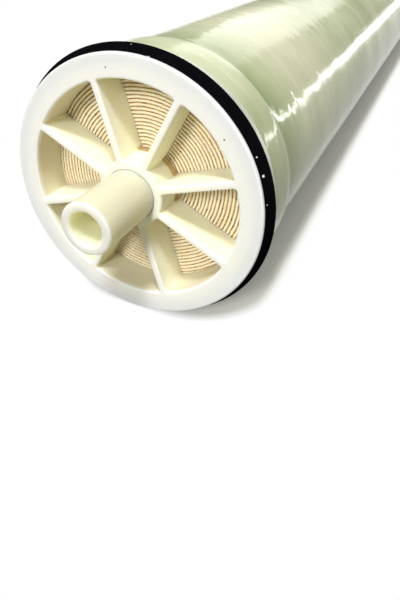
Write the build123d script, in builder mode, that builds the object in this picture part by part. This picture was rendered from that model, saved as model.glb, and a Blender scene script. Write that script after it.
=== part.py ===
from build123d import *

import os
from math import floor, hypot, sqrt

# Spiral-wound reverse osmosis membrane element, in millimetres.
# The element lies along Y. Its seal end faces -Y, and the origin is the centre of that end's front
# face, on the axis of the permeate tube. +Z is up.

# Overall sizes
element_length = 1016.0  # from tube end to tube end
element_diameter = 99.0  # over the end caps
tube_projection = 26.7  # how far the tube stands out of each end cap

# Permeate tube
tube_diameter = 19.4  # as extruded
tube_wall = 3.7
tube_turning = 0.175  # taken off the projecting ends, which a coupling fits
tube_mouth_rounding = 1.0
tube_hole_diameter = 3.2
tube_hole_pitch = 60.0
tube_hole_margin = 40.0  # from the end of the roll to the first hole

# End caps
cap_depth = 14.0  # from the front face to the roll
rim_width = 8.5  # from the outside of the rim to the windows
rim_outer_rounding = 0.7
skirt_length = 14.0  # over the roll
skirt_wall = 1.3
skirt_clearance = 0.1
land_depth = 12.2  # from the front face to the edge of the glass-fibre wrap
hub_wall = 2.85
hub_clearance = 0.05
spoke_count = 8
spoke_thickness = 2.6
spoke_phase = 17.0  # degrees from +X to the first spoke, seen from the seal end
window_corner_rounding = 1.0
window_edge_rounding = 0.7

# Brine seal and its groove
groove_front = 1.0  # thickness of the rim in front of the groove
groove_width = 6.4
groove_depth = 3.3
seal_side_clearance = 0.1
seal_lip_height = 2.3  # of the free lip's edge above the rim
seal_lip_reach = 4.3  # from the seal's front face back to the lip's edge
seal_lip_thickness = 1.1
seal_lip_rounding = 0.3
seal_back_recess = 1.0  # of the ring behind the lip, below the rim
seal_notch_depth = 1.7  # from the seal's front face back to the bottom of the notch behind the lip

# Glass-fibre wrap
wrap_wall = 1.6
wrap_step_length = 2.5  # slope from the raised band down to the body
wrap_edge_rounding = 0.5

# Roll
leaf_thickness = 0.68  # two membranes glued over a permeate carrier
spacer_thickness = 0.71
spacer_recess = 1.5  # how far a feed spacer lies inside each end of the roll
core_wrap_thickness = 0.3  # first turn of permeate carrier on the tube
tape_thickness = 0.3  # thinnest place of the tape around the roll

# Radii and stations that follow
element_radius = element_diameter / 2
tube_radius = tube_diameter / 2
tube_end_radius = tube_radius - tube_turning
tube_bore_radius = tube_radius - tube_wall
first_face = 0.0
last_face = element_length - 2 * tube_projection
roll_start = first_face + cap_depth
roll_end = last_face - cap_depth
roll_length = roll_end - roll_start
rim_opening_radius = element_radius - rim_width
groove_radius = element_radius - groove_depth
seal_back_radius = element_radius - seal_back_recess
hub_bore_radius = tube_radius + hub_clearance
hub_radius = hub_bore_radius + hub_wall
skirt_radius = element_radius - wrap_wall
skirt_bore_radius = skirt_radius - skirt_wall
roll_radius = skirt_bore_radius - skirt_clearance
body_radius = roll_radius + wrap_wall
skirt_depth = cap_depth + skirt_length
element_middle = (first_face + last_face) / 2

# Four leaves are wound in quarter turns, and one starts in each quarter. In a quarter all arcs share
# one centre, a corner of a square as wide as the pitch, so a leaf climbs by one pitch in each.
leaf_pitch = leaf_thickness + spacer_thickness
centre_offset = leaf_pitch / 2
winding_centres = (
    (-centre_offset, centre_offset),
    (-centre_offset, -centre_offset),
    (centre_offset, -centre_offset),
    (centre_offset, centre_offset),
)
quarter = 360 / len(winding_centres)  # degrees
core_radius = tube_radius + core_wrap_thickness
winding_start = centre_offset + sqrt(core_radius**2 - centre_offset**2)
taped_radius = roll_radius - tape_thickness
winding_limit = sqrt(taped_radius**2 - centre_offset**2) - centre_offset
quarter_turns = floor((winding_limit - winding_start) / leaf_pitch)
winding_end = winding_start + quarter_turns * leaf_pitch


def station(depth):
    """Section plane across the element, with +Z up, at a distance along Y."""
    return Plane.XZ.offset(-depth)


def spiral(first_quarter, radius):
    """Quarter arcs of one wound surface, for a BuildLine, and the two ends of the line."""
    arcs = []
    for i in range(first_quarter, first_quarter + quarter_turns):
        centre = winding_centres[i % len(winding_centres)]
        arcs.append(CenterArc(centre, radius, quarter * i, quarter))
        radius += leaf_pitch
    return arcs[0] @ 0, arcs[-1] @ 1


def wound_sheet(first_quarter, inner_radius, thickness, start, end):
    """Solid of one sheet of the roll between two stations, as a part."""
    with BuildPart() as sheet:
        with BuildSketch(station(start)):
            with BuildLine():
                inner_start, inner_end = spiral(first_quarter, inner_radius)
                outer_start, outer_end = spiral(first_quarter, inner_radius + thickness)
                Line(inner_start, outer_start)
                Line(inner_end, outer_end)
            make_face()
        extrude(amount=start - end)
    return sheet


def stepped_outline(radius):
    """Closed outline of four quarter arcs and the steps between them, for a BuildLine."""
    arcs = []
    for i, centre in enumerate(winding_centres):
        arcs.append(CenterArc(centre, radius, quarter * i, quarter))
    for arc, next_arc in zip(arcs, arcs[1:] + arcs[:1]):
        Line(arc @ 1, next_arc @ 0)


# Permeate tube: one pipe with turned ends, drilled through where the roll covers it
with BuildPart() as permeate_tube:
    with BuildSketch(Plane.XY):
        with BuildLine():
            Polyline(
                (tube_bore_radius, first_face - tube_projection),
                (tube_end_radius, first_face - tube_projection),
                (tube_end_radius, first_face),
                (tube_radius, first_face),
                (tube_radius, last_face),
                (tube_end_radius, last_face),
                (tube_end_radius, last_face + tube_projection),
                (tube_bore_radius, last_face + tube_projection),
                close=True,
            )
        make_face()
    revolve(axis=Axis.Y)
    tube_ends = permeate_tube.edges().filter_by(GeomType.CIRCLE).group_by(Axis.Y)
    fillet(tube_ends[0] + tube_ends[-1], tube_mouth_rounding)
    drilled_length = roll_length - 2 * tube_hole_margin
    hole_stations = 1 + floor(drilled_length / tube_hole_pitch)
    first_hole = element_middle - (hole_stations - 1) * tube_hole_pitch / 2
    for i in range(hole_stations):
        turn = quarter * (i % 2)
        with Locations(Location((0, first_hole + i * tube_hole_pitch, 0), (0, turn, 0))):
            Cylinder(tube_hole_diameter / 2, tube_diameter, mode=Mode.SUBTRACT)
permeate_tube.part.label = "permeate_tube"


# End cap: rim, seal groove, skirt, spokes and hub in one moulding. It is turned as one piece, and
# then the windows between the spokes are cut, with rounded corners and front edges.
with BuildPart() as feed_end_cap:
    with BuildSketch(Plane.XY) as cap_section:
        with BuildLine():
            Polyline(
                (hub_bore_radius, 0),
                (element_radius, 0),
                (element_radius, groove_front),
                (groove_radius, groove_front),
                (groove_radius, groove_front + groove_width),
                (element_radius, groove_front + groove_width),
                (element_radius, land_depth),
                (skirt_radius, land_depth),
                (skirt_radius, skirt_depth),
                (skirt_bore_radius, skirt_depth),
                (skirt_bore_radius, cap_depth),
                (hub_bore_radius, cap_depth),
                close=True,
            )
        make_face()
        rim_corner = cap_section.vertices().group_by(Axis.Y)[0].sort_by(Axis.X)[-1]
        fillet(rim_corner, rim_outer_rounding)
    revolve(axis=Axis.Y)
    front_circles = feed_end_cap.edges().group_by(Axis.Y)[0]
    with BuildSketch(station(first_face)) as windows:
        Circle(rim_opening_radius)
        Circle(hub_radius, mode=Mode.SUBTRACT)
        with PolarLocations(rim_opening_radius / 2, spoke_count, start_angle=spoke_phase):
            Rectangle(rim_opening_radius, spoke_thickness, mode=Mode.SUBTRACT)
        fillet(windows.vertices(), window_corner_rounding)
    extrude(amount=-cap_depth, mode=Mode.SUBTRACT)
    fillet(feed_end_cap.edges().group_by(Axis.Y)[0] - front_circles, window_edge_rounding)
feed_end_cap.part.label = "feed_end_cap"


# The other cap is the same moulding, turned about to face the other way
with BuildPart() as concentrate_end_cap:
    add(feed_end_cap.part.rotate(Axis((0, element_middle, 0), (0, 0, 1)), 180))
concentrate_end_cap.part.label = "concentrate_end_cap"


# Brine seal: a rubber ring in the groove, with a lip that flares outwards
with BuildPart() as brine_seal:
    seal_front = groove_front + seal_side_clearance
    seal_back = groove_front + groove_width - seal_side_clearance
    lip_foot = (element_radius, seal_front)
    lip_edge = (element_radius + seal_lip_height, seal_front + seal_lip_reach)
    lip_length = hypot(seal_lip_height, seal_lip_reach)
    lip_back = (
        lip_edge[0] - seal_lip_thickness * seal_lip_reach / lip_length,
        lip_edge[1] + seal_lip_thickness * seal_lip_height / lip_length,
    )
    with BuildSketch(Plane.XY) as seal_section:
        with BuildLine():
            Polyline(
                (groove_radius, seal_front),
                lip_foot,
                lip_edge,
                lip_back,
                (seal_back_radius, seal_front + seal_notch_depth),
                (seal_back_radius, seal_back),
                (groove_radius, seal_back),
                close=True,
            )
        make_face()
        fillet(seal_section.vertices().group_by(Axis.X)[-1], seal_lip_rounding)
    revolve(axis=Axis.Y)
brine_seal.part.label = "brine_seal"


# Glass-fibre wrap: a thin shell, raised where it passes over the skirts of the end caps
with BuildPart() as outer_wrap:
    wrap_start = first_face + land_depth
    wrap_end = last_face - land_depth
    first_step = first_face + skirt_depth
    last_step = last_face - skirt_depth
    with BuildSketch(Plane.XY) as wrap_section:
        with BuildLine():
            Polyline(
                (skirt_radius, wrap_start),
                (element_radius, wrap_start),
                (element_radius, first_step),
                (body_radius, first_step + wrap_step_length),
                (body_radius, last_step - wrap_step_length),
                (element_radius, last_step),
                (element_radius, wrap_end),
                (skirt_radius, wrap_end),
                (skirt_radius, last_step),
                (roll_radius, last_step),
                (roll_radius, first_step),
                (skirt_radius, first_step),
                close=True,
            )
        make_face()
        wrap_edges = wrap_section.vertices().group_by(Axis.Y)
        fillet(wrap_edges[0].sort_by(Axis.X)[-1], wrap_edge_rounding)
        fillet(wrap_edges[-1].sort_by(Axis.X)[-1], wrap_edge_rounding)
    revolve(axis=Axis.Y)
outer_wrap.part.label = "outer_wrap"


# Core wrap: the first turn of permeate carrier, with a step for the inner edge of each leaf
with BuildPart() as core_wrap:
    with BuildSketch(station(roll_start)):
        with BuildLine():
            stepped_outline(winding_start)
        make_face()
        Circle(tube_radius, mode=Mode.SUBTRACT)
    extrude(amount=-roll_length)
core_wrap.part.label = "core_wrap"


# Roll tape: holds the wound roll, and evens out the outer edges of the leaves
with BuildPart() as roll_tape:
    with BuildSketch(station(roll_start)):
        Circle(roll_radius)
        with BuildLine():
            stepped_outline(winding_end)
        make_face(mode=Mode.SUBTRACT)
    extrude(amount=-roll_length)
roll_tape.part.label = "roll_tape"


# Membrane leaves and the feed spacers between them, all wound side by side around the tube
wound_sheets = []
for i in range(len(winding_centres)):
    membrane_leaf = wound_sheet(i, winding_start, leaf_thickness, roll_start, roll_end)
    membrane_leaf.part.label = "membrane_leaf_" + str(i + 1)
    feed_spacer = wound_sheet(
        i,
        winding_start + leaf_thickness,
        spacer_thickness,
        roll_start + spacer_recess,
        roll_end - spacer_recess,
    )
    feed_spacer.part.label = "feed_spacer_" + str(i + 1)
    wound_sheets += [membrane_leaf, feed_spacer]


os.makedirs("parts", exist_ok=True)
pieces = [permeate_tube, feed_end_cap, concentrate_end_cap, brine_seal, outer_wrap, core_wrap, roll_tape]
for piece in pieces + wound_sheets:
    export_step(piece.part, "parts/" + piece.part.label + ".step")
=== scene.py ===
"""Finish a spiral-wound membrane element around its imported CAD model.

The element lies along Y with its seal end towards -Y. The wound sheets, the core wrap, the tape, the
glass-fibre wrap and the permeate tube are made here with a finer form. The end caps and the seal keep
their CAD solids and get a finish.
"""

import math

import bpy
from bpy.props import FloatProperty, FloatVectorProperty, IntProperty, PointerProperty
from bpy.types import Operator, Panel, PropertyGroup
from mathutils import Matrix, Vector, noise


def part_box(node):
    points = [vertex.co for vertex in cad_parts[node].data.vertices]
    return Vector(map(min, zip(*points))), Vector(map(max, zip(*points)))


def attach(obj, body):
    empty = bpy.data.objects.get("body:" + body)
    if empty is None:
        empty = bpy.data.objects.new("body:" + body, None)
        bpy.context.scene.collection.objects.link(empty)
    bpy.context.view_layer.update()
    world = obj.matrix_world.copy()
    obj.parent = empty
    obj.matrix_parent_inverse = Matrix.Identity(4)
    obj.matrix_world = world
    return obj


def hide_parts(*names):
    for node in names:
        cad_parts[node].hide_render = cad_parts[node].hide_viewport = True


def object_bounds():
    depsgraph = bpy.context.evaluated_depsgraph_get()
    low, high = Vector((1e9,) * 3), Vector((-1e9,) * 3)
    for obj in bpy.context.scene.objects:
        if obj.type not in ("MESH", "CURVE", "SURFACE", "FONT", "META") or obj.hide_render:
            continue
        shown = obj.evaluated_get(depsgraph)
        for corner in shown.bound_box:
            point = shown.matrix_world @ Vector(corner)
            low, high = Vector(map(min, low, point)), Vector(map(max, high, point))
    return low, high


bl_info = {
    "name": "Membrane element",
    "version": (1, 0, 0),
    "blender": (4, 5, 0),
    "location": "3D View > Sidebar > Element",
    "description": "Makes the wound sheets, wrap, tube, mouldings and stage of a membrane element",
    "category": "Object",
}

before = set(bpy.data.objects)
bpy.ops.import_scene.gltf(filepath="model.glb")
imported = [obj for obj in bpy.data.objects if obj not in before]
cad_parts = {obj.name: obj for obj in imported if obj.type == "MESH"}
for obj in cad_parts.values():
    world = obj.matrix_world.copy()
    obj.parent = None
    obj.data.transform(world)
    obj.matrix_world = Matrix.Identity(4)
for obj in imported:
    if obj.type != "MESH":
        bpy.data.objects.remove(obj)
cad_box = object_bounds()

MM = 0.001
BODY = "root"
LEAF_COUNT = 4

# Stations and radii that follow from the CAD nodes
tube_low, tube_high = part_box("permeate_tube")
cap_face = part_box("feed_end_cap")[0].y
far_cap_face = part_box("concentrate_end_cap")[1].y
seal_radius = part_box("brine_seal")[1].x
wrap_low, wrap_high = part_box("outer_wrap")
tape_low, tape_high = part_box("roll_tape")
roll_start, roll_end = tape_low.y, tape_high.y
roll_middle = (roll_start + roll_end) / 2
roll_radius = tape_high.x

# Facets: segments round the axis, rows along it, steps in a ring's quarter arc, the length of a step
# along a wound sheet, and the angle from which an edge is sharp
TUBE_SEGMENTS = 128
WRAP_SEGMENTS = 192
BODY_ROWS = 180
BAND_ROWS = 5
SLOPE_ROWS = 6
QUARTER_STEPS = 32
WINDING_STEP = 1.1 * MM
SHARP_DEGREES = 35

# Lengths over which the wound sheets wander, swell and fray
WANDER_LENGTH = 9 * MM
FINE_WANDER_LENGTH = 2.6 * MM
SWELL_LENGTH = 3.1 * MM
FRAY_LENGTH = 1.3 * MM

# Layers of the noise that moves the sheets
WANDER_LAYER = 3.7
FINE_WANDER_LAYER = 11.0
LEAF_LAYER = 20.0
SPACER_LAYER = 40.0
FRAY_LAYER_SHIFT = 5

# Small sizes of the wrap and of the net's strand ends
WRAP_EDGE_ROUNDING = 0.5 * MM
STRAND_LENGTH = 1.9 * MM
STRAND_OFFSET = 0.16 * MM

# Grit that sticks to the front of the cap and to the seal
GRIT_RADIUS = 0.36 * MM
GRIT_ON_FACE = ((-6.3 * MM, cap_face, 44.2 * MM), (35.1 * MM, cap_face, 26.6 * MM))
GRIT_ON_SEAL = (
    ((47.5 * MM, cap_face + 2.3 * MM, 16.0 * MM), 0.55 * MM),
    ((45.0 * MM, cap_face + 2.2 * MM, 21.9 * MM), 0.30 * MM),
    ((49.5 * MM, cap_face + 2.0 * MM, 6.6 * MM), 0.25 * MM),
)

# Zones of the finishes, each as the place where it begins and the place where it is full.
# Radii are from the axis, and depths from the nearer end of the piece, the mouth's from the seal end.
HUB_RADII = (42.0 * MM, 14.0 * MM)
WINDOW_RADII = (44.5 * MM, 42.0 * MM)
WINDOW_DEPTHS = (0.4 * MM, 3.0 * MM)
# Painted shade on the rim's inner wall
RIM_WALL_SHADE_RADII = (40.5 * MM, 40.9 * MM)
RIM_WALL_SHADE_DEPTHS = (1.0 * MM, 2.5 * MM)
# Painted shade: tan at the deep end of the hub wall
HUB_FOOT_SHADE_RADII = (13.8 * MM, 13.3 * MM)
HUB_FOOT_SHADE_DEPTHS = (10.6 * MM, 11.0 * MM)
# Painted shade: greenish grey on the cap's outside behind the seal
LAND_SHADE_RADII = (47.5 * MM, 47.8 * MM)
LAND_SHADE_DEPTHS = (7.2 * MM, 7.6 * MM)
# Painted light on the tube's mouth and in its bore
MOUTH_LIGHT_DEPTHS = (1.0 * MM, 0.5 * MM)
BORE_LIGHT_RADII = (7.0 * MM, 6.2 * MM)
# Depths over which the leaves' sides turn to painted shade
LEAF_EDGE_DEPTHS = (0.9 * MM, 0.25 * MM)

# The darker strip of the wrap beside a raised band, measured from the end of that band
DARK_STRIP_BEGINS = (0, 2 * MM)
DARK_STRIP_FADES = (34 * MM, 3 * MM)

# Tints of the finishes, beside the colours that a user would change
# Painted shade on the rim's inner wall
RIM_WALL_SHADE_TINT = (0.70, 0.65, 0.47)
SPECK_TINT = (0.25, 0.23, 0.20)
GRIT_TINT = (0.12, 0.12, 0.11)
# Painted shade: tan at the deep end of the hub wall
HUB_FOOT_SHADE_TINT = (0.66, 0.47, 0.21)
# Painted shade: greenish grey on the cap's outside behind the seal
LAND_SHADE_TINT = (0.60, 0.62, 0.50)
DRAW_LINE_TINT = (0.97, 0.95, 0.86)
# Painted light on the tube's mouth and in its bore
MOUTH_LIGHT_TINT = (0.80, 0.78, 0.70)
BORE_LIGHT_TINT = (0.98, 0.94, 0.66)
BLOOM_TINT = (0.012, 0.012, 0.014)
DUST_TINT = (0.75, 0.75, 0.72)
WHITE_GRIT_TINT = (0.95, 0.95, 0.93)
FIBRE_TINT = (0.84, 0.84, 0.70)
GLUED_LEAF_TINT = (0.97, 0.93, 0.76)
STAINED_LEAF_TINT = (0.86, 0.68, 0.38)
# Painted shade on the leaves' sides inside the gaps
GAP_SHADE_TINT = (0.78, 0.45, 0.15)
CARRIER_TINT = (0.82, 0.76, 0.60)
TAPE_TINT = (0.74, 0.66, 0.46)
FLOOR_TINT = (0.95, 0.94, 0.86)
FLOOR_BOUNCE_TINT = (0.28, 0.27, 0.20)

# How far red, green and blue light spread in the plastics, as shares
PLASTIC_SCATTER = (1.0, 0.85, 0.45)

# The floor's shaded area: how far it stays inside the seal and the caps, its rounded corner, half the
# width of its soft edge, and the share of white in it
SHADE_SIDE_INSET = 6.7 * MM
SHADE_END_INSET = 4 * MM
SHADE_CORNER = 34 * MM
SHADE_BLUR = 2.5 * MM
SHADE_WHITE = 0.15


# Sizes and colours

class TubeSizes(PropertyGroup):
    end_diameter: FloatProperty(
        name="End diameter", description="Outside of the turned ends", default=19.05 * MM,
        unit="LENGTH", precision=5)
    diameter: FloatProperty(
        name="Diameter", description="Outside of the tube between its ends", default=19.4 * MM,
        unit="LENGTH", precision=5)
    bore: FloatProperty(
        name="Bore", description="Inside of the tube", default=12.0 * MM, unit="LENGTH", precision=5)
    mouth_rounding: FloatProperty(
        name="Mouth rounding", description="Radius on both edges of a mouth", default=1.0 * MM,
        unit="LENGTH", precision=5)
    hole_diameter: FloatProperty(
        name="Hole diameter", description="Drilled holes under the roll", default=3.2 * MM,
        unit="LENGTH", precision=5)
    hole_pitch: FloatProperty(
        name="Hole pitch", description="From hole to hole along the tube", default=60.0 * MM,
        unit="LENGTH", precision=5)
    hole_margin: FloatProperty(
        name="Hole margin", description="Roll left undrilled at each end", default=40.0 * MM,
        unit="LENGTH", precision=5)


class RollSizes(PropertyGroup):
    leaf_thickness: FloatProperty(
        name="Leaf thickness", description="One glued membrane leaf", default=0.68 * MM,
        unit="LENGTH", precision=5)
    spacer_thickness: FloatProperty(
        name="Spacer thickness", description="Gap that a feed spacer fills", default=0.71 * MM,
        unit="LENGTH", precision=5)
    core_thickness: FloatProperty(
        name="Core wrap thickness", description="First turn on the tube", default=0.3 * MM,
        unit="LENGTH", precision=5)
    quarter_turns: IntProperty(
        name="Quarter turns", description="Length of each sheet, in quarters of a turn", default=25)
    edge_bulge: FloatProperty(
        name="Edge bulge", description="Extra thickness of a leaf at its glued edge",
        default=0.18 * MM, unit="LENGTH", precision=6)
    waviness: FloatProperty(
        name="Waviness", description="How far the wound sheets wander from a true spiral",
        default=0.32 * MM, unit="LENGTH", precision=6)
    spacer_recess: FloatProperty(
        name="Spacer recess", description="Depth of the spacer's solid part behind the roll's face",
        default=1.8 * MM, unit="LENGTH", precision=5)
    strand_diameter: FloatProperty(
        name="Strand diameter", description="One strand of the spacer net", default=0.56 * MM,
        unit="LENGTH", precision=5)
    strand_pitch: FloatProperty(
        name="Strand pitch", description="From strand end to strand end along the spiral",
        default=0.88 * MM, unit="LENGTH", precision=5)
    mesh_strands: IntProperty(
        name="Strands a mesh", description="Strand pitches from one open mesh of the net to the next",
        default=5)
    strand_lean: FloatProperty(
        name="Strand lean", description="Angle of a strand from the axis", default=math.radians(40),
        subtype="ANGLE")


class WrapSizes(PropertyGroup):
    wall: FloatProperty(
        name="Wall", description="Thickness of the wrap", default=1.6 * MM, unit="LENGTH", precision=5)
    raised_length: FloatProperty(
        name="Raised length", description="Band over the skirt of an end cap", default=15.8 * MM,
        unit="LENGTH", precision=5)
    step_length: FloatProperty(
        name="Step length", description="Slope from the raised band down to the body",
        default=2.5 * MM, unit="LENGTH", precision=5)
    roving_relief: FloatProperty(
        name="Roving relief", description="Height of the laid rovings", default=0.05 * MM,
        unit="LENGTH", precision=6)
    roving_width: FloatProperty(
        name="Roving width", description="Width of one laid band", default=22.0 * MM,
        unit="LENGTH", precision=5)


class Colours(PropertyGroup):
    cap_face: FloatVectorProperty(
        name="Cap face", description="White plastic of the caps' front", subtype="COLOR",
        default=(0.87, 0.86, 0.81))
    cap_inside: FloatVectorProperty(
        name="Cap inside", description="Creamier plastic between the spokes", subtype="COLOR",
        default=(0.98, 0.94, 0.72))
    tube: FloatVectorProperty(
        name="Tube", description="Ivory plastic of the permeate tube", subtype="COLOR",
        default=(0.73, 0.70, 0.53))
    seal: FloatVectorProperty(
        name="Seal", description="Black rubber", subtype="COLOR", default=(0.003, 0.003, 0.004))
    wrap_light: FloatVectorProperty(
        name="Wrap, light", description="Resin-rich glass fibre", subtype="COLOR",
        default=(0.65, 0.67, 0.46))
    wrap_dark: FloatVectorProperty(
        name="Wrap, dark", description="Dense glass fibre", subtype="COLOR",
        default=(0.27, 0.33, 0.155))
    wrap_warm: FloatVectorProperty(
        name="Wrap, warm", description="Tan patches of thicker resin", subtype="COLOR",
        default=(0.62, 0.565, 0.40))
    leaf: FloatVectorProperty(
        name="Leaf", description="Cut and glued edge of a leaf", subtype="COLOR",
        default=(0.98, 0.91, 0.68))
    # The spacer's darker brown, against the strand ends' lighter tan, is partly painted shade between the
    # leaves
    spacer: FloatVectorProperty(
        name="Spacer", description="Shaded spacer net", subtype="COLOR", default=(0.74, 0.42, 0.15))
    strand: FloatVectorProperty(
        name="Strand", description="Strand ends of the net", subtype="COLOR",
        default=(0.80, 0.54, 0.22))


class StageSizes(PropertyGroup):
    floor_size: FloatProperty(
        name="Floor size", description="Side of the floor", default=12.0, unit="LENGTH")
    key_power: FloatProperty(
        name="Key power", description="Lamp above the seal end, to its right", default=26.5,
        unit="POWER")
    front_power: FloatProperty(
        name="Front power", description="Soft lamp in front of the seal end", default=32.0,
        unit="POWER")
    back_power: FloatProperty(
        name="Back power", description="Soft lamp far behind, glossing the wrap's top", default=6.0,
        unit="POWER")
    far_power: FloatProperty(
        name="Far power", description="Soft lamp above the far end", default=15.0, unit="POWER")
    strip_power: FloatProperty(
        name="Strip power", description="Long low lamp that only glosses the wrap", default=10.0,
        unit="POWER")
    sky: FloatProperty(name="Sky", description="Even light from all sides", default=0.17, min=0.0)


GROUPS = {
    "element_tube": TubeSizes,
    "element_roll": RollSizes,
    "element_wrap": WrapSizes,
    "element_colours": Colours,
    "element_stage": StageSizes,
}


# Shader maths and nodes

class Socket:
    """An output socket on which Python's operators add Math nodes."""

    def __init__(self, graph, socket):
        self.graph = graph
        self.socket = socket

    def maths(self, operation, *values):
        return self.graph.node("ShaderNodeMath", {"operation": operation}, dict(enumerate(values)))

    def __add__(self, other):
        return self.maths("ADD", self, other)

    def __sub__(self, other):
        return self.maths("SUBTRACT", self, other)

    def __rsub__(self, other):
        return self.maths("SUBTRACT", other, self)

    def __mul__(self, other):
        return self.maths("MULTIPLY", self, other)

    def root(self):
        return self.maths("SQRT", self)

    def largest(self, other):
        return self.maths("MAXIMUM", self, other)

    def smallest(self, other):
        return self.maths("MINIMUM", self, other)

    __radd__ = __add__
    __rmul__ = __mul__


class Graph:
    """The nodes of one material."""

    def __init__(self, name):
        self.material = bpy.data.materials.new(name)
        self.material.use_nodes = True
        self.tree = self.material.node_tree
        self.shader = self.tree.nodes["Principled BSDF"]

    def node(self, kind, settings=None, inputs=None, output=0):
        """Add a node, set its settings, then its sockets, and return one of its outputs."""
        node = self.tree.nodes.new(kind)
        for key, value in (settings or {}).items():
            setattr(node, key, value)
        for key, value in (inputs or {}).items():
            self.feed(node.inputs[key], value)
        return Socket(self, node.outputs[output])

    def feed(self, target, value):
        if isinstance(value, Socket):
            self.tree.links.new(value.socket, target)
        elif target.type == "RGBA" and len(value) == 3:
            target.default_value = (*value, 1.0)
        else:
            target.default_value = value

    def place(self):
        """Object coordinates, in metres."""
        return self.node("ShaderNodeTexCoord", output="Object")

    def axes(self):
        """The X, Y and Z of the object coordinates."""
        split = self.node("ShaderNodeSeparateXYZ", {}, {"Vector": self.place()}).socket.node
        return [Socket(self, output) for output in split.outputs]

    def axis_distance(self):
        """How far a point lies from the element's axis."""
        x, _, z = self.axes()
        return (x * x + z * z).root()

    def end_depth(self, start, end):
        """How far a point lies behind the nearer of two ends along Y."""
        y = self.axes()[1]
        return (y - start).smallest(end - y)

    def noise(self, scale, detail=3.0, roughness=0.5, stretch=(1, 1, 1)):
        """Noise with so many waves a metre, multiplied along each axis by the stretch."""
        scaled = self.node("ShaderNodeMapping", {}, {"Vector": self.place(), "Scale": stretch})
        return self.node(
            "ShaderNodeTexNoise", {},
            {"Vector": scaled, "Scale": scale, "Detail": detail, "Roughness": roughness})

    def ramp(self, value, low, high):
        """0 below low, 1 above high, straight between, clamped."""
        return self.node(
            "ShaderNodeMapRange", {"clamp": True}, {"Value": value, "From Min": low, "From Max": high})

    def mix(self, factor, first, second):
        inputs = {0: factor, 6: first, 7: second}
        return self.node("ShaderNodeMix", {"data_type": "RGBA"}, inputs, output=2)

    def spot(self, centre, radius):
        """1 inside a small ball with an uneven edge round a point, and 0 outside it."""
        distance = self.node(
            "ShaderNodeVectorMath", {"operation": "DISTANCE"}, {0: self.place(), 1: centre},
            output="Value")
        uneven = distance + self.noise(2500, 1) * radius
        return self.ramp(uneven, radius * 1.5, radius * 1.2)

    def bump(self, height, distance, strength=1.0, normal=None):
        inputs = {"Height": height, "Distance": distance, "Strength": strength}
        if normal:
            inputs["Normal"] = normal
        return self.node("ShaderNodeBump", {}, inputs)

    def swayed_normal(self, axis, angle):
        """The surface's normal, turned about an axis by a small angle."""
        normal = self.node("ShaderNodeNewGeometry", output="Normal")
        around = self.node("ShaderNodeVectorMath", {"operation": "CROSS_PRODUCT"}, {0: axis, 1: normal})
        aside = self.node("ShaderNodeVectorMath", {"operation": "SCALE"}, {0: around, "Scale": angle})
        return self.node("ShaderNodeVectorMath", {"operation": "ADD"}, {0: normal, 1: aside})

    def finish(self, **sockets):
        """Feed the shader's own sockets, named with underscores for spaces."""
        for key, value in sockets.items():
            self.feed(self.shader.inputs[key.replace("_", " ")], value)
        return self.material


def shade(colour, factor):
    return tuple(channel * factor for channel in colour)


# Finishes

def cap_plastic(colours):
    """White moulded plastic, creamier towards the hub and between the spokes, with dust specks, and
    painted shade on the rim's inner wall, at the deep end of the hub and on the cap's outside behind the
    seal.
    """
    graph = Graph("cap_plastic")
    radius = graph.axis_distance()
    depth = graph.end_depth(cap_face, far_cap_face)

    def zone(radii, depths):
        return graph.ramp(radius, *radii) * graph.ramp(depth, *depths)

    near_hub = graph.ramp(radius, *HUB_RADII)
    cream = zone(WINDOW_RADII, WINDOW_DEPTHS).largest(near_hub * 0.75)
    plastic = graph.mix(cream, tuple(colours.cap_face), tuple(colours.cap_inside))
    flow = graph.ramp(graph.noise(45, 4), 0.35, 0.75)
    plastic = graph.mix(flow * 0.10, plastic, shade(colours.cap_inside, 0.85))
    # Painted shade: the rim's inner wall is darker
    plastic = graph.mix(zone(RIM_WALL_SHADE_RADII, RIM_WALL_SHADE_DEPTHS) * 0.7, plastic, RIM_WALL_SHADE_TINT)
    specks = graph.ramp(graph.noise(900, 1), 0.80, 0.82)
    plastic = graph.mix(specks * 0.7, plastic, SPECK_TINT)
    for place in GRIT_ON_FACE:
        plastic = graph.mix(graph.spot(place, GRIT_RADIUS), plastic, GRIT_TINT)
    # Painted shade: tan at the deep end of the hub wall
    plastic = graph.mix(zone(HUB_FOOT_SHADE_RADII, HUB_FOOT_SHADE_DEPTHS), plastic, HUB_FOOT_SHADE_TINT)
    # Painted shade: greenish grey on the cap's outside behind the seal
    plastic = graph.mix(zone(LAND_SHADE_RADII, LAND_SHADE_DEPTHS), plastic, LAND_SHADE_TINT)
    grain = graph.bump(graph.noise(1500, 2), 0.02 * MM, 0.25)
    return graph.finish(
        Base_Color=plastic, Roughness=graph.noise(60, 2) * 0.15 + 0.36, Normal=grain,
        Subsurface_Weight=0.5, Subsurface_Radius=PLASTIC_SCATTER, Subsurface_Scale=4 * MM)


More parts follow.
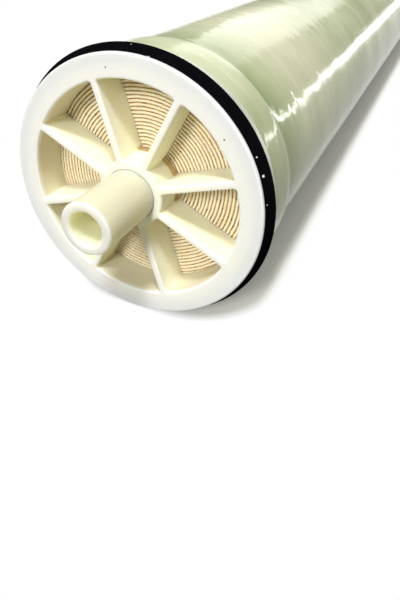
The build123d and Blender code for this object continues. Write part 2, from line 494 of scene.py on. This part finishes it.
def tube_plastic(colours):
    """Ivory extruded plastic with faint draw lines along the tube, and painted light at its mouth and in
    its bore.
    """
    graph = Graph("tube_plastic")
    lines = graph.noise(1.0, 2, stretch=(700, 8, 700))
    cloud = graph.ramp(graph.noise(60, 3), 0.3, 0.75)
    plastic = graph.mix(cloud * 0.18, tuple(colours.tube), shade(colours.tube, 0.86))
    plastic = graph.mix(graph.ramp(lines, 0.45, 0.8) * 0.10, plastic, DRAW_LINE_TINT)
    # Painted light: the mouth's face and the bore are paler
    mouth = graph.ramp(graph.axes()[1] - tube_low.y, *MOUTH_LIGHT_DEPTHS)
    plastic = graph.mix(mouth, plastic, MOUTH_LIGHT_TINT)
    in_bore = graph.ramp(graph.axis_distance(), *BORE_LIGHT_RADII)
    plastic = graph.mix(in_bore, plastic, BORE_LIGHT_TINT)
    draw = graph.bump(lines, 0.02 * MM, 0.3)
    return graph.finish(
        Base_Color=plastic, Roughness=lines * 0.12 + 0.30, Normal=draw,
        Subsurface_Weight=0.8, Subsurface_Radius=PLASTIC_SCATTER, Subsurface_Scale=9 * MM)


def seal_rubber(colours):
    """Black rubber with a faint satin bloom and a few white dust specks."""
    graph = Graph("seal_rubber")
    bloom = graph.ramp(graph.noise(80, 4), 0.45, 0.85)
    rubber = graph.mix(bloom * 0.3, tuple(colours.seal), BLOOM_TINT)
    dust = graph.ramp(graph.noise(520, 2), 0.765, 0.78)
    rubber = graph.mix(dust * 0.85, rubber, DUST_TINT)
    for place, radius in GRIT_ON_SEAL:
        rubber = graph.mix(graph.spot(place, radius), rubber, WHITE_GRIT_TINT)
    grain = graph.bump(graph.noise(1400, 2), 0.03 * MM, 0.3)
    return graph.finish(
        Base_Color=rubber, Roughness=bloom * 0.2 + 0.42, Normal=grain, Specular_IOR_Level=0.0)


def glass_fibre_wrap(colours, sizes):
    """Pale green resin over glass rovings that run round the element, darker beside the raised bands."""
    graph = Graph("glass_fibre_wrap")
    fibres = graph.noise(1.0, 3, 0.6, stretch=(16, 1500, 16))
    strands = graph.noise(1.0, 3, 0.55, stretch=(7, 240, 7))
    bands = graph.noise(1.0, 2, 0.5, stretch=(6, 30, 6))
    cloud = graph.noise(16, 4, 0.55)
    tone = bands * 0.25 + strands * 0.1 + cloud * 0.65
    resin = graph.mix(graph.ramp(tone, 0.30, 0.62), tuple(colours.wrap_dark), tuple(colours.wrap_light))
    resin = graph.mix(graph.ramp(graph.noise(11, 3), 0.50, 0.72) * 0.45, resin, tuple(colours.wrap_warm))
    resin = graph.mix(graph.ramp(fibres, 0.52, 0.80) * 0.12, resin, FIBRE_TINT)
    behind_band = graph.end_depth(wrap_low.y, wrap_high.y) - sizes.raised_length
    dark_strip = graph.ramp(behind_band, *DARK_STRIP_BEGINS) * graph.ramp(behind_band, *DARK_STRIP_FADES)
    resin = graph.mix(dark_strip * 0.85, resin, tuple(colours.wrap_dark))
    fine_lay = graph.noise(1.0, 1, 0.5, stretch=(90, 1300, 90))
    broad_lay = graph.noise(1.0, 2, 0.6, stretch=(40, 260, 40))
    lay = fine_lay + broad_lay - 1
    small_and_rare_large = lay * 0.14 + lay * lay * lay * 1.8
    swayed = graph.swayed_normal((0, 1, 0), small_and_rare_large)
    relief = graph.bump(fibres * 0.15 + graph.noise(55, 2), 0.1 * MM, 1.0, swayed)
    return graph.finish(
        Base_Color=resin, Roughness=strands * 0.06 + 0.10, Normal=relief, Specular_IOR_Level=0.05)


def membrane(colours):
    """Cream leaf edges, glossy with glue in places, with painted tan shade on their sides inside the gaps
    between the turns.
    """
    graph = Graph("membrane")
    patches = graph.ramp(graph.noise(420, 3), 0.42, 0.70)
    cream = graph.mix(patches * 0.45, tuple(colours.leaf), GLUED_LEAF_TINT)
    stains = graph.ramp(graph.noise(160, 3), 0.52, 0.75)
    cream = graph.mix(stains * 0.35, cream, STAINED_LEAF_TINT)
    # Painted shade: the leaves' sides behind their front edges are tan
    edge = graph.ramp(graph.end_depth(roll_start, roll_end), *LEAF_EDGE_DEPTHS)
    cream = graph.mix(edge, GAP_SHADE_TINT, cream)
    glue = graph.ramp(graph.noise(230, 2), 0.45, 0.62)
    fibres = graph.bump(graph.noise(2600, 3), 0.05 * MM, 0.5)
    return graph.finish(Base_Color=cream, Roughness=0.44 - glue * 0.28, Normal=fibres)


def spacer_net(name, colour):
    """Plastic net in a given colour; the spacers' darker brown, against the strands' lighter tan, is
    partly the net's colour and partly painted shade between the leaves.
    """
    graph = Graph(name)
    patches = graph.ramp(graph.noise(500, 3), 0.35, 0.7)
    net = graph.mix(patches, shade(colour, 0.65), tuple(colour))
    return graph.finish(Base_Color=net, Roughness=graph.noise(300, 2) * 0.2 + 0.4)


def inner_film(name, colour):
    """Tape or knitted carrier inside the roll."""
    graph = Graph(name)
    patches = graph.noise(200, 3)
    film = graph.mix(patches, shade(colour, 0.85), colour)
    weave = graph.bump(graph.noise(1800, 2), 0.03 * MM, 0.4)
    return graph.finish(Base_Color=film, Roughness=patches * 0.2 + 0.4, Normal=weave)


# Meshes

def new_object(name, points, faces, material, sharp_degrees=SHARP_DEGREES):
    """A mesh object in the row frame, shaded smooth up to an angle."""
    mesh = bpy.data.meshes.new(name)
    mesh.from_pydata(points, [], faces)
    mesh.validate()
    mesh.materials.append(material)
    mesh.shade_smooth()
    mesh.set_sharp_from_angle(angle=math.radians(sharp_degrees))
    piece = bpy.data.objects.new(name, mesh)
    bpy.context.scene.collection.objects.link(piece)
    return piece


def turned(name, outline, segments, material):
    """Turn a closed outline of (radius, y) points about the Y axis."""
    points, faces = [], []
    count = len(outline)
    for i in range(segments):
        angle = 2 * math.pi * i / segments
        for radius, y in outline:
            points.append((radius * math.cos(angle), y, radius * math.sin(angle)))
    for i in range(segments):
        here, there = i * count, (i + 1) % segments * count
        for j in range(count):
            k = (j + 1) % count
            faces.append((here + j, here + k, there + k, there + j))
    return new_object(name, points, faces, material)


def rounded_corner(corner, before, after, radius, steps=5):
    """Points of an arc that rounds a square corner between two directions."""
    points = []
    for i in range(steps + 1):
        angle = math.pi / 2 * i / steps
        back = radius * (1 - math.sin(angle))
        along = radius * (1 - math.cos(angle))
        points.append((
            corner[0] - before[0] * back + after[0] * along,
            corner[1] - before[1] * back + after[1] * along,
        ))
    return points


def quarter_centres(pitch):
    """Centres of the spirals' quarter arcs, at the corners of a square as wide as the pitch."""
    offset = pitch / 2
    return ((-offset, offset), (-offset, -offset), (offset, -offset), (offset, offset))


def winding_line(first_quarter, radius, pitch, quarters):
    """Points of a spiral of quarter arcs in the X-Z plane, each with its outward direction."""
    centres = quarter_centres(pitch)
    line = []
    for i in range(first_quarter, first_quarter + quarters):
        centre = centres[i % LEAF_COUNT]
        count = max(4, round(radius * math.pi / 2 / WINDING_STEP))
        last = i == first_quarter + quarters - 1
        for j in range(count + last):
            angle = math.pi / 2 * (i + j / count)
            out = (math.cos(angle), math.sin(angle))
            line.append((centre[0] + radius * out[0], centre[1] + radius * out[1], out))
        radius += pitch
    return line


def noise_at(x, z, length, layer):
    """Noise from about -1 to 1 that changes over a length across the roll."""
    return noise.noise(Vector((x / length, z / length, layer)))


def wander(x, z, amount):
    """Smooth shift off the true spiral, which neighbouring sheets share."""
    coarse = noise_at(x, z, WANDER_LENGTH, WANDER_LAYER)
    fine = noise_at(x, z, FINE_WANDER_LENGTH, FINE_WANDER_LAYER)
    return amount * (coarse + 0.35 * fine)


def sheet(name, line, profile, sizes, layer, material):
    """Wind a flat sheet along a line. The profile holds (side, y, thickness, fray) rows, all round."""
    points, faces = [], []
    count = len(profile)
    for x, z, out in line:
        shift = wander(x, z, sizes.waviness)
        swell = noise_at(x, z, SWELL_LENGTH, layer)
        frayed = 0.5 + 0.5 * noise_at(x, z, FRAY_LENGTH, layer + FRAY_LAYER_SHIFT)
        for side, y, thickness, fray in profile:
            across = shift + side * thickness * (1 + 0.16 * swell)
            points.append((x + out[0] * across, y + fray * frayed, z + out[1] * across))
    for i in range(len(line) - 1):
        here, there = i * count, (i + 1) * count
        for j in range(count):
            k = (j + 1) % count
            faces.append((here + j, there + j, there + k, here + k))
    faces.append(tuple(range(count)))
    faces.append(tuple(reversed(range((len(line) - 1) * count, len(line) * count))))
    return new_object(name, points, faces, material, sharp_degrees=50)


def leaf_profile(sizes):
    """Outline across a leaf: rounded and swollen at both glued edges, with a dip between its plies.

    A row holds the share of the thickness, the depth and the fray in millimetres, and the thickness.
    """
    flat, swollen = sizes.leaf_thickness, sizes.leaf_thickness + sizes.edge_bulge
    rows = (
        (0.0, 0.05, swollen, 0.30),
        (0.25, 0.0, swollen, 0.30),
        (0.42, 0.04, swollen, 0.30),
        (0.5, 0.16, swollen, 0.20),
        (0.5, 1.2, swollen, 0.0),
        (0.5, 3.0, flat, 0.0),
    )
    near = [(s, roll_start + d * MM, t, r * MM) for s, d, t, r in rows]
    far = [(s, roll_end - d * MM, t, -r * MM) for s, d, t, r in reversed(rows)]
    one_side = near + far
    other_side = [(-s, y, t, r) for s, y, t, r in reversed(one_side) if s > 0]
    return one_side + other_side


def spacer_profile(sizes):
    """Outline across a spacer's solid part, which lies behind the roll's face."""
    start, end = roll_start + sizes.spacer_recess, roll_end - sizes.spacer_recess
    full = sizes.spacer_thickness
    side = 0.48
    corners = ((side, start), (side, end), (-side, end), (-side, start))
    return [(s, y, full, 0.0) for s, y in corners]


def stepped_ring(name, stepped_radius, round_radius, pitch, material):
    """Ring of the roll's length with one round side and one side of four stepped quarter arcs."""
    points, faces = [], []
    for i, (centre_x, centre_z) in enumerate(quarter_centres(pitch)):
        for j in range(QUARTER_STEPS + 1):
            angle = math.pi / 2 * (i + j / QUARTER_STEPS)
            cos, sin = math.cos(angle), math.sin(angle)
            x, z = centre_x + stepped_radius * cos, centre_z + stepped_radius * sin
            round_x, round_z = round_radius * cos, round_radius * sin
            points += [(x, roll_start, z), (round_x, roll_start, round_z)]
            points += [(round_x, roll_end, round_z), (x, roll_end, z)]
    stations = len(points) // 4
    for i in range(stations):
        here, there = 4 * i, 4 * ((i + 1) % stations)
        for j in range(4):
            k = (j + 1) % 4
            quad = (here + j, here + k, there + k, there + j)
            faces.append(quad if stepped_radius > round_radius else tuple(reversed(quad)))
    return new_object(name, points, faces, material)


def eased_slope(raised, body, crest, run, shares):
    """Points of the soft slope from a raised band, whose edge is at the crest, down to the body."""
    points = []
    for share in shares:
        ease = (1 - math.cos(math.pi * share)) / 2
        points.append((raised + (body - raised) * ease, crest + run * share))
    return points


def wrap_outline(sizes):
    """Closed (radius, y) outline of the wrap, with a raised band over the skirt of each cap."""
    inside, raised = roll_radius, wrap_high.x
    body, skirt = inside + sizes.wall, raised - sizes.wall
    start, end = wrap_low.y, wrap_high.y
    first, last = start + sizes.raised_length, end - sizes.raised_length
    long = last - first - 2 * sizes.step_length
    shares = [i / SLOPE_ROWS for i in range(SLOPE_ROWS + 1)]
    outline = [(skirt, start)]
    outline += rounded_corner((raised, start), (1, 0), (0, 1), WRAP_EDGE_ROUNDING)
    outline += [(raised, start + (first - start) * i / BAND_ROWS) for i in range(1, BAND_ROWS)]
    outline += eased_slope(raised, body, first, sizes.step_length, shares)
    outline += [(body, first + sizes.step_length + long * i / BODY_ROWS) for i in range(1, BODY_ROWS)]
    outline += eased_slope(raised, body, last, -sizes.step_length, reversed(shares))
    outline += [(raised, end - (end - last) * i / BAND_ROWS) for i in range(BAND_ROWS - 1, 0, -1)]
    outline += rounded_corner((raised, end), (0, 1), (-1, 0), WRAP_EDGE_ROUNDING)
    outline += [(skirt, end), (skirt, last), (inside, last), (inside, first), (skirt, first)]
    return outline


# Geometry Nodes

class GeometryTree:
    """A Geometry Nodes tree with named inputs, built node by node."""

    def __init__(self, name):
        self.tree = bpy.data.node_groups.new(name, "GeometryNodeTree")
        self.tree.interface.new_socket("Geometry", in_out="INPUT", socket_type="NodeSocketGeometry")
        self.tree.interface.new_socket("Geometry", in_out="OUTPUT", socket_type="NodeSocketGeometry")
        self.values = {}
        self.entry = self.tree.nodes.new("NodeGroupInput")

    def size(self, name, value, kind="NodeSocketFloat"):
        """A named input and its value, as a socket."""
        item = self.tree.interface.new_socket(name, in_out="INPUT", socket_type=kind)
        self.values[item.identifier] = value
        return self.entry.outputs[item.name]

    def node(self, kind, settings=None, inputs=None, output=0):
        node = self.tree.nodes.new(kind)
        for key, value in (settings or {}).items():
            setattr(node, key, value)
        for key, value in (inputs or {}).items():
            if isinstance(value, bpy.types.NodeSocket):
                self.tree.links.new(value, node.inputs[key])
            else:
                node.inputs[key].default_value = value
        return node.outputs[output]

    def geometry(self):
        return self.entry.outputs["Geometry"]

    def apply(self, piece, result, material):
        """End the tree, run it on a piece, and turn the result into a plain mesh."""
        real = self.node("GeometryNodeRealizeInstances", {}, {"Geometry": result})
        made = self.node("GeometryNodeSetMaterial", {}, {"Geometry": real, "Material": material})
        leave = self.tree.nodes.new("NodeGroupOutput")
        self.tree.links.new(made, leave.inputs["Geometry"])
        modifier = piece.modifiers.new(self.tree.name, "NODES")
        modifier.node_group = self.tree
        for identifier, value in self.values.items():
            modifier[identifier] = value
        bpy.context.view_layer.update()
        evaluated = piece.evaluated_get(bpy.context.evaluated_depsgraph_get())
        mesh = bpy.data.meshes.new_from_object(evaluated)
        piece.modifiers.remove(modifier)
        old = piece.data
        piece.data = mesh
        bpy.data.meshes.remove(old)
        mesh.name = piece.name
        return piece


def drill_holes(tube, sizes, material):
    """Cut the pairs of cross holes that the roll covers, every second pair turned a quarter."""
    length = roll_end - roll_start - 2 * sizes.hole_margin
    stations = 1 + math.floor(length / sizes.hole_pitch + 1e-6)
    tree = GeometryTree("drilled_holes")
    pitch = tree.size("Hole pitch", sizes.hole_pitch)
    radius = tree.size("Hole radius", sizes.hole_diameter / 2)
    count = tree.size("Hole count", stations, "NodeSocketInt")
    first = roll_middle - (stations - 1) * sizes.hole_pitch / 2
    drill_length = sizes.diameter * 1.2
    step = tree.node("ShaderNodeCombineXYZ", {}, {"Y": pitch})
    line = tree.node(
        "GeometryNodeMeshLine", {}, {"Count": count, "Start Location": (0, first, 0), "Offset": step})
    drill = tree.node(
        "GeometryNodeMeshCylinder", {}, {"Vertices": 24, "Radius": radius, "Depth": drill_length})
    index = tree.node("GeometryNodeInputIndex")
    odd = tree.node("ShaderNodeMath", {"operation": "MODULO"}, {0: index, 1: 2.0})
    turn = tree.node("ShaderNodeMath", {"operation": "MULTIPLY"}, {0: odd, 1: math.pi / 2})
    spin = tree.node("ShaderNodeCombineXYZ", {}, {"Y": turn})
    drills = tree.node(
        "GeometryNodeInstanceOnPoints", {}, {"Points": line, "Instance": drill, "Rotation": spin})
    cut = tree.node(
        "GeometryNodeMeshBoolean", {"operation": "DIFFERENCE", "solver": "EXACT"},
        {"Mesh 1": tree.geometry(), "Mesh 2": drills})
    tree.apply(tube, cut, material)


def strand_ends(name, line, sizes, face, inward, seed, material):
    """Ends of the net's strands, leaning both ways in turn, along one spiral at one end of the roll."""
    points = []
    for x, z, out in line:
        shift = wander(x, z, sizes.waviness)
        points.append((x + out[0] * shift, face + inward * STRAND_LENGTH / 2, z + out[1] * shift))
    mesh = bpy.data.meshes.new(name)
    mesh.from_pydata(points, [(i, i + 1) for i in range(len(points) - 1)], [])
    piece = bpy.data.objects.new(name, mesh)
    bpy.context.scene.collection.objects.link(piece)
    tree = GeometryTree("spacer_strands")
    pitch = tree.size("Strand pitch", sizes.strand_pitch)
    radius = tree.size("Strand radius", sizes.strand_diameter / 2)
    lean = tree.size("Lean", sizes.strand_lean)
    meshes = tree.size("Strands a mesh", sizes.mesh_strands, "NodeSocketInt")
    curve = tree.node("GeometryNodeMeshToCurve", {}, {"Mesh": tree.geometry()})
    path = tree.node(
        "GeometryNodeResampleCurve", {"mode": "LENGTH"}, {"Curve": curve, "Length": pitch})
    strand = tree.node(
        "GeometryNodeMeshCylinder", {}, {"Vertices": 7, "Radius": radius, "Depth": STRAND_LENGTH})
    index = tree.node("GeometryNodeInputIndex")
    odd = tree.node("ShaderNodeMath", {"operation": "MODULO"}, {0: index, 1: 2.0})
    side = tree.node("ShaderNodeMath", {"operation": "MULTIPLY_ADD"}, {0: odd, 1: 2.0, 2: -1.0})
    chance = tree.node(
        "FunctionNodeRandomValue", {"data_type": "FLOAT"}, {"Min": 0.7, "Max": 1.3, "Seed": seed},
        output=1)
    tilt = tree.node("ShaderNodeMath", {"operation": "MULTIPLY"}, {0: side, 1: lean})
    tilt = tree.node("ShaderNodeMath", {"operation": "MULTIPLY"}, {0: tilt, 1: chance})
    tangent = tree.node("GeometryNodeInputTangent")
    axis = tree.node("ShaderNodeCombineXYZ", {}, {"Y": 1.0})
    outward = tree.node(
        "ShaderNodeVectorMath", {"operation": "CROSS_PRODUCT"}, {0: tangent, 1: axis})
    along = tree.node(
        "FunctionNodeAlignRotationToVector", {"axis": "Z"}, {"Vector": axis})
    leaning = tree.node(
        "FunctionNodeAxisAngleToRotation", {}, {"Axis": outward, "Angle": tilt})
    turned_way = tree.node(
        "FunctionNodeRotateRotation", {"rotation_space": "GLOBAL"},
        {"Rotation": along, "Rotate By": leaning})
    place_in_mesh = tree.node("ShaderNodeMath", {"operation": "MODULO"}, {0: index, 1: meshes})
    filled = tree.node("ShaderNodeMath", {"operation": "GREATER_THAN"}, {0: place_in_mesh, 1: 0.5})
    strands = tree.node(
        "GeometryNodeInstanceOnPoints", {},
        {"Points": path, "Selection": filled, "Instance": strand, "Rotation": turned_way})
    reach = tree.node("ShaderNodeMath", {"operation": "MULTIPLY"}, {0: side, 1: STRAND_OFFSET})
    aside = tree.node("ShaderNodeVectorMath", {"operation": "SCALE"}, {0: outward, "Scale": reach})
    placed = tree.node(
        "GeometryNodeTranslateInstances", {},
        {"Instances": strands, "Translation": aside, "Local Space": False})
    return tree.apply(piece, placed, material)


def ripple_wrap(wrap, sizes, material):
    """Let the wrap's surface rise and sink over the laid rovings, mostly inwards."""
    crest = 0.75  # noise level at which the surface stays where it is
    tree = GeometryTree("laid_rovings")
    relief = tree.size("Roving relief", sizes.roving_relief)
    width = tree.size("Roving width", sizes.roving_width)
    place = tree.node("GeometryNodeInputPosition")
    parts = tree.node("ShaderNodeSeparateXYZ", {}, {"Vector": place}).node.outputs
    along = tree.node("ShaderNodeMath", {"operation": "DIVIDE"}, {0: parts[1], 1: width})
    vector = tree.node("ShaderNodeCombineXYZ", {}, {"X": parts[0], "Y": along, "Z": parts[2]})
    laid = tree.node(
        "ShaderNodeTexNoise", {}, {"Vector": vector, "Scale": 3.0, "Detail": 2.0})
    height = tree.node("ShaderNodeMath", {"operation": "SUBTRACT"}, {0: laid, 1: crest})
    height = tree.node("ShaderNodeMath", {"operation": "MULTIPLY"}, {0: height, 1: relief})
    normal = tree.node("GeometryNodeInputNormal")
    lift = tree.node("ShaderNodeVectorMath", {"operation": "SCALE"}, {0: normal, "Scale": height})
    moved = tree.node(
        "GeometryNodeSetPosition", {}, {"Geometry": tree.geometry(), "Offset": lift})
    tree.apply(wrap, moved, material)


def dress(piece, slot, *nodes):
    """Hang a finished piece on the body and hide the CAD nodes that it stands for. The slot is not used.
    """
    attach(piece, BODY)
    if nodes:
        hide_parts(*nodes)


# Operators

class ELEMENT_OT_finish_mouldings(Operator):
    """Give the end caps and the brine seal their finishes"""
    bl_idname = "element.finish_mouldings"
    bl_label = "Finish end caps and seal"

    def execute(self, context):
        colours = context.scene.element_colours
        plastic = cap_plastic(colours)
        for name in ("feed_end_cap", "concentrate_end_cap"):
            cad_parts[name].material_slots[0].material = plastic
        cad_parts["brine_seal"].material_slots[0].material = seal_rubber(colours)
        return {"FINISHED"}


class ELEMENT_OT_add_tube(Operator):
    """Make the permeate tube with its turned ends, rounded mouths and cross holes"""
    bl_idname = "element.add_tube"
    bl_label = "Add permeate tube"

    def execute(self, context):
        sizes = context.scene.element_tube
        end, middle, bore = sizes.end_diameter / 2, sizes.diameter / 2, sizes.bore / 2
        rounding = sizes.mouth_rounding
        start, finish = tube_low.y, tube_high.y
        outline = rounded_corner((bore, start), (0, -1), (1, 0), rounding)
        outline += rounded_corner((end, start), (1, 0), (0, 1), rounding)
        outline += [(end, cap_face), (middle, cap_face)]
        outline += [(middle, roll_middle), (middle, far_cap_face), (end, far_cap_face)]
        outline += rounded_corner((end, finish), (0, 1), (-1, 0), rounding)
        outline += rounded_corner((bore, finish), (-1, 0), (0, -1), rounding)
        material = tube_plastic(context.scene.element_colours)
        tube = turned("permeate_pipe", outline, TUBE_SEGMENTS, material)
        drill_holes(tube, sizes, material)
        tube.data.shade_smooth()
        tube.data.set_sharp_from_angle(angle=math.radians(SHARP_DEGREES))
        dress(tube, "tube_plastic", "permeate_tube")
        return {"FINISHED"}


class ELEMENT_OT_wind_roll(Operator):
    """Wind the leaves and the spacers, with wavy edges, between the core wrap and the tape"""
    bl_idname = "element.wind_roll"
    bl_label = "Wind membrane roll"

    def execute(self, context):
        sizes = context.scene.element_roll
        colours = context.scene.element_colours
        tube_radius = context.scene.element_tube.diameter / 2
        pitch = sizes.leaf_thickness + sizes.spacer_thickness
        half = pitch / 2
        core = tube_radius + sizes.core_thickness
        first_radius = half + math.sqrt(core ** 2 - half ** 2)
        last_radius = first_radius + sizes.quarter_turns * pitch
        leaf_finish = membrane(colours)
        # Same net in two colours: the recessed solid part darker brown as painted shade, the strand ends
        # lighter
        net_finish = spacer_net("spacer_net", colours.spacer)
        strand_finish = spacer_net("spacer_strands", colours.strand)
        for i in range(LEAF_COUNT):
            number = str(i + 1)
            middle = first_radius + sizes.leaf_thickness / 2
            line = winding_line(i, middle, pitch, sizes.quarter_turns)
            profile = leaf_profile(sizes)
            leaf = sheet("leaf_" + number, line, profile, sizes, LEAF_LAYER + i, leaf_finish)
            dress(leaf, "membrane", "membrane_leaf_" + number)
            middle = first_radius + sizes.leaf_thickness + sizes.spacer_thickness / 2
            line = winding_line(i, middle, pitch, sizes.quarter_turns)
            profile = spacer_profile(sizes)
            net = sheet("spacer_" + number, line, profile, sizes, SPACER_LAYER + i, net_finish)
            dress(net, "spacer_net", "feed_spacer_" + number)
            for end, face, inward in (("feed", roll_start, 1), ("far", roll_end, -1)):
                name = "strands_" + end + "_" + number
                strands = strand_ends(name, line, sizes, face, inward, i, strand_finish)
                dress(strands, "spacer_net")
        carrier_finish = inner_film("carrier_fabric", CARRIER_TINT)
        core_wrap = stepped_ring("carrier_turn", first_radius, tube_radius, pitch, carrier_finish)
        dress(core_wrap, "carrier_fabric", "core_wrap")
        tape_finish = inner_film("roll_tape", TAPE_TINT)
        tape = stepped_ring("tape_turns", last_radius, roll_radius, pitch, tape_finish)
        dress(tape, "tape", "roll_tape")
        return {"FINISHED"}


class ELEMENT_OT_add_wrap(Operator):
    """Make the glass-fibre wrap, raised over the skirts of the caps"""
    bl_idname = "element.add_wrap"
    bl_label = "Add glass-fibre wrap"

    def execute(self, context):
        sizes = context.scene.element_wrap
        material = glass_fibre_wrap(context.scene.element_colours, sizes)
        wrap = turned("glass_fibre_shell", wrap_outline(sizes), WRAP_SEGMENTS, material)
        ripple_wrap(wrap, sizes, material)
        dress(wrap, "glass_fibre_wrap", "outer_wrap")
        return {"FINISHED"}


class ELEMENT_OT_set_stage(Operator):
    """Set the floor, the lamps, the world and the camera"""
    bl_idname = "element.set_stage"
    bl_label = "Set stage"

    def execute(self, context):
        sizes = context.scene.element_stage
        half = sizes.floor_size / 2
        low = cad_box[0][2]
        corners = [(-half, -half, low), (half, -half, low), (half, half, low), (-half, half, low)]
        floor = new_object("floor", corners, [(0, 1, 2, 3)], floor_white())
        add_lamp(
            "key", place=(0.18, -0.6, 1.65), target=(0.0, 0.15, 0.0), width=0.3, height=0.3,
            power=sizes.key_power)
        add_lamp(
            "front", place=(0.0, -2.0, 1.2), target=(0.0, 0.0, 0.0), width=0.5, height=0.5,
            power=sizes.front_power)
        add_lamp(
            "back", place=(-0.36, 2.5, 0.92), target=(0.0, 0.1, 0.05), width=1.1, height=0.65,
            power=sizes.back_power)
        strip = add_lamp(
            "strip", place=(0.40, 2.4, 0.05), target=(0.0, 2.4, 0.03), width=4.4, height=0.010,
            power=sizes.strip_power)
        strip.visible_diffuse = False
        far = add_lamp(
            "far", place=(0.25, 1.9, 1.3), target=(0.0, 0.8, 0.0), width=0.8, height=0.8,
            power=sizes.far_power)
        far.visible_glossy = False
        set_world(sizes.sky)
        add_camera()
        context.scene.view_settings.view_transform = "Standard"
        return {"FINISHED"}


def floor_white():
    """White floor that shows the element's shade only in a rounded rectangle beneath it."""
    graph = Graph("floor_white")
    seen = shown_rays(graph)
    paint = graph.mix(seen, FLOOR_BOUNCE_TINT, FLOOR_TINT)
    x, y = graph.axes()[:2]
    beside = x.largest(0 - x) - seal_radius + SHADE_SIDE_INSET + SHADE_CORNER
    beyond = (cap_face - y).largest(y - far_cap_face) + SHADE_END_INSET + SHADE_CORNER
    beside, beyond = beside.largest(0), beyond.largest(0)
    outside = (beside * beside + beyond * beyond).root() - SHADE_CORNER
    far_off = graph.ramp(outside, -SHADE_BLUR, SHADE_BLUR)
    blend_white(graph, seen * (far_off * (1 - SHADE_WHITE) + SHADE_WHITE))
    return graph.finish(Base_Color=paint, Roughness=0.9, Specular_IOR_Level=0.0)


def shown_rays(graph):
    """1 for rays from the camera and from glossy or clear surfaces, else 0."""
    rays = graph.node("ShaderNodeLightPath").socket.node.outputs
    seen = Socket(graph, rays["Is Camera Ray"]) + Socket(graph, rays["Is Glossy Ray"])
    return seen + Socket(graph, rays["Is Transmission Ray"])


def blend_white(graph, share):
    """Blend the material with plain white, by a share from 0 to 1."""
    painted = Socket(graph, graph.shader.outputs["BSDF"])
    white = graph.node("ShaderNodeEmission", {}, {"Color": (1, 1, 1), "Strength": 1.0})
    mixed = graph.node("ShaderNodeMixShader", {}, {"Fac": share, 1: painted, 2: white})
    graph.feed(graph.tree.nodes["Material Output"].inputs["Surface"], mixed)


def add_lamp(name, place, target, width, height, power):
    """A rectangular lamp that faces a point."""
    lamp = bpy.data.lights.new(name, "AREA")
    lamp.shape = "RECTANGLE"
    lamp.size, lamp.size_y = width, height
    lamp.energy = power
    holder = bpy.data.objects.new(name, lamp)
    bpy.context.scene.collection.objects.link(holder)
    holder.location = place
    holder.rotation_euler = (Vector(target) - Vector(place)).to_track_quat("-Z", "Y").to_euler()
    holder.visible_camera = False
    return holder


def set_world(strength):
    """Even light, which looks plain white behind the floor."""
    world = bpy.data.worlds.new("studio")
    world.use_nodes = True
    nodes, links = world.node_tree.nodes, world.node_tree.links
    background = nodes["Background"]
    background.inputs["Color"].default_value = (1.0, 1.0, 1.0, 1.0)
    rays = nodes.new("ShaderNodeLightPath")
    level = nodes.new("ShaderNodeMapRange")
    level.inputs["To Min"].default_value = strength
    links.new(rays.outputs["Is Camera Ray"], level.inputs["Value"])
    links.new(level.outputs["Result"], background.inputs["Strength"])
    bpy.context.scene.world = world


def add_camera():
    """The photograph's view: from close by, above and to the right of the seal end."""
    degrees_down, degrees_left = 27.957, 25.836
    camera = bpy.data.cameras.new("camera")
    camera.sensor_width = 36.0
    camera.lens = 31.36
    camera.shift_x = 0.0158
    camera.shift_y = -0.1656
    camera.clip_start = 0.01
    holder = bpy.data.objects.new("camera", camera)
    bpy.context.scene.collection.objects.link(holder)
    holder.location = (0.09061, -0.13807, 0.08457)
    holder.rotation_euler = (math.radians(90 - degrees_down), 0, math.radians(degrees_left))
    bpy.context.scene.camera = holder


class ELEMENT_PT_panel(Panel):
    """Sizes, colours and steps of the membrane element"""
    bl_idname = "ELEMENT_PT_panel"
    bl_label = "Membrane element"
    bl_space_type = "VIEW_3D"
    bl_region_type = "UI"
    bl_category = "Element"

    def draw(self, context):
        for operator in OPERATORS:
            self.layout.operator(operator.bl_idname)
        for key, group in GROUPS.items():
            box = self.layout.box()
            for name in group.__annotations__:
                box.prop(getattr(context.scene, key), name)


OPERATORS = (
    ELEMENT_OT_finish_mouldings,
    ELEMENT_OT_add_tube,
    ELEMENT_OT_wind_roll,
    ELEMENT_OT_add_wrap,
    ELEMENT_OT_set_stage,
)
CLASSES = (*GROUPS.values(), *OPERATORS, ELEMENT_PT_panel)


def register():
    for item in CLASSES:
        bpy.utils.register_class(item)
    for key, group in GROUPS.items():
        setattr(bpy.types.Scene, key, PointerProperty(type=group))


def unregister():
    for key in GROUPS:
        delattr(bpy.types.Scene, key)
    for item in reversed(CLASSES):
        bpy.utils.unregister_class(item)


def main():
    register()
    bpy.ops.element.finish_mouldings()
    bpy.ops.element.add_tube()
    bpy.ops.element.wind_roll()
    bpy.ops.element.add_wrap()
    bpy.ops.element.set_stage()


if __name__ == "__main__":
    main()
